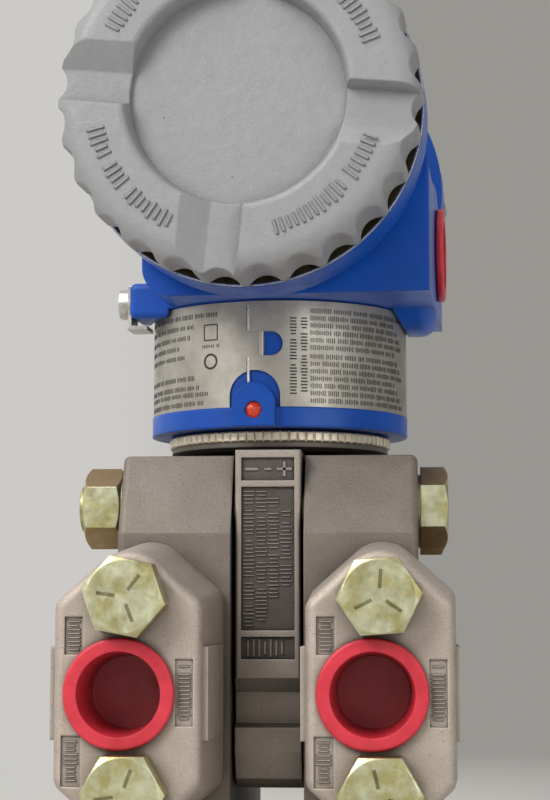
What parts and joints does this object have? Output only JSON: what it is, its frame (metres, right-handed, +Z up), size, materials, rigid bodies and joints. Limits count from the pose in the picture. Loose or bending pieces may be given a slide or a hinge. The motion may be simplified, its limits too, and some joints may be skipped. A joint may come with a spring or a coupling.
{
  "type": "differential pressure transmitter",
  "caption": "Differential pressure transmitter: round two-ended housing on a swivel neck above a sensor body clamped between two process covers with connectors.",
  "frame": {"origin": "centre of the four tapped bracket holes, on the plane of the process covers' rear faces, at the height of the process ports", "axes": "+Z up along the neck that the housing turns on; +Y out of the rear faces, towards the bracket; -Y towards the connectors and the front cover; +X towards the high pressure side"},
  "size_m": [0.091, 0.153, 0.2284],
  "materials": {
    "cast_steel": "investment cast stainless steel, bead blasted, dull",
    "yellow_zinc": "steel with yellow chromate zinc plating",
    "plated_ring": "plated steel, serrated",
    "stainless": "machined stainless steel",
    "plate_steel": "thin stainless sheet, satin",
    "blue_paint": "smooth semi-gloss blue paint on cast aluminium",
    "grey_paint": "fine textured grey powder coat on cast aluminium",
    "red_plastic": "soft red moulded plastic",
    "black_rubber": "nitrile rubber",
    "potted_black": "black moulded plastic",
    "terminal_brass": "plated brass"
  },
  "bodies": {
    "measuring_end": {"sensor_body": "cast_steel", "knurled_ring": "plated_ring", "neck_seal": "black_rubber", "sensor_header": "stainless", "low_process_cover": "cast_steel", "high_process_cover": "cast_steel", "cover_bolt_1": "yellow_zinc", "cover_bolt_2": "yellow_zinc", "cover_bolt_3": "yellow_zinc", "cover_bolt_4": "yellow_zinc", "cover_nut_1": "yellow_zinc", "cover_nut_2": "yellow_zinc", "cover_nut_3": "yellow_zinc", "cover_nut_4": "yellow_zinc", "low_cover_gasket": "black_rubber", "high_cover_gasket": "black_rubber", "low_diaphragm": "stainless", "high_diaphragm": "stainless", "low_connector": "cast_steel", "high_connector": "cast_steel", "low_connector_seal": "black_rubber", "high_connector_seal": "black_rubber", "connector_bolt_1": "yellow_zinc", "connector_bolt_2": "yellow_zinc", "connector_bolt_3": "yellow_zinc", "connector_bolt_4": "yellow_zinc", "low_vent_plug": "stainless", "high_vent_plug": "stainless"},
    "topworks": {"housing": "blue_paint", "data_plate": "plate_steel", "lock_screw": "stainless", "ground_screw": "stainless", "ground_clamp": "stainless", "electronics_module": "potted_black", "module_screw_1": "stainless", "module_screw_2": "stainless", "terminal_block": "potted_black", "block_screw_1": "stainless", "block_screw_2": "stainless", "terminal_screw_1": "terminal_brass", "terminal_screw_2": "terminal_brass", "terminal_screw_3": "terminal_brass", "sensor_lead": "black_rubber"},
    "front_seal": {"front_cover_seal": "black_rubber"},
    "front_lid": {"front_cover": "grey_paint"},
    "rear_seal": {"rear_cover_seal": "black_rubber"},
    "rear_lid": {"rear_cover": "grey_paint"},
    "low_plug": {"low_port_plug": "red_plastic"},
    "high_plug": {"high_port_plug": "red_plastic"},
    "conduit_stopper": {"conduit_plug": "red_plastic"},
    "low_bleed": {"low_vent_screw": "stainless"},
    "high_bleed": {"high_vent_screw": "stainless"}
  },
  "joints": [
    {"name": "topworks_swivel", "type": "hinge", "parent": "measuring_end", "child": "topworks", "pos_m": [0, -0.044, 0.06], "axis": [0, 0, 1], "range_deg": [-180, 180]},
    {"name": "front_cover_travel", "type": "slide", "parent": "topworks", "child": "front_seal", "axis": [-0.0576, -0.9983, 0], "range_m": [0, 0.0166]},
    {"name": "front_cover_turn", "type": "hinge", "parent": "front_seal", "child": "front_lid", "pos_m": [-0.00351, -0.1049, 0.1324], "axis": [-0.0576, -0.9983, 0], "range_deg": [0, 3960]},
    {"name": "rear_cover_travel", "type": "slide", "parent": "topworks", "child": "rear_seal", "axis": [0.0576, 0.9983, 0], "range_m": [0, 0.0166]},
    {"name": "rear_cover_turn", "type": "hinge", "parent": "rear_seal", "child": "rear_lid", "pos_m": [0.00259, 0.00093, 0.1324], "axis": [0.0576, 0.9983, 0], "range_deg": [0, 3960]},
    {"name": "low_plug_pull", "type": "slide", "parent": "measuring_end", "child": "low_plug", "axis": [0, -1, 0], "range_m": [0, 0.02]},
    {"name": "high_plug_pull", "type": "slide", "parent": "measuring_end", "child": "high_plug", "axis": [0, -1, 0], "range_m": [0, 0.02]},
    {"name": "conduit_plug_pull", "type": "slide", "parent": "topworks", "child": "conduit_stopper", "axis": [0.9983, -0.0576, 0], "range_m": [0, 0.02]},
    {"name": "low_vent_turn", "type": "hinge", "parent": "measuring_end", "child": "low_bleed", "pos_m": [-0.027, 0.0065, 0], "axis": [0, 1, 0], "range_deg": [0, 720]},
    {"name": "high_vent_turn", "type": "hinge", "parent": "measuring_end", "child": "high_bleed", "pos_m": [0.027, 0.0065, 0], "axis": [0, 1, 0], "range_deg": [0, 720]}
  ],
  "couplings": [
    {"joint": "front_cover_travel", "follows": "front_cover_turn", "m_per_rad": 0.00023873},
    {"joint": "rear_cover_travel", "follows": "rear_cover_turn", "m_per_rad": 0.00023873}
  ]
}
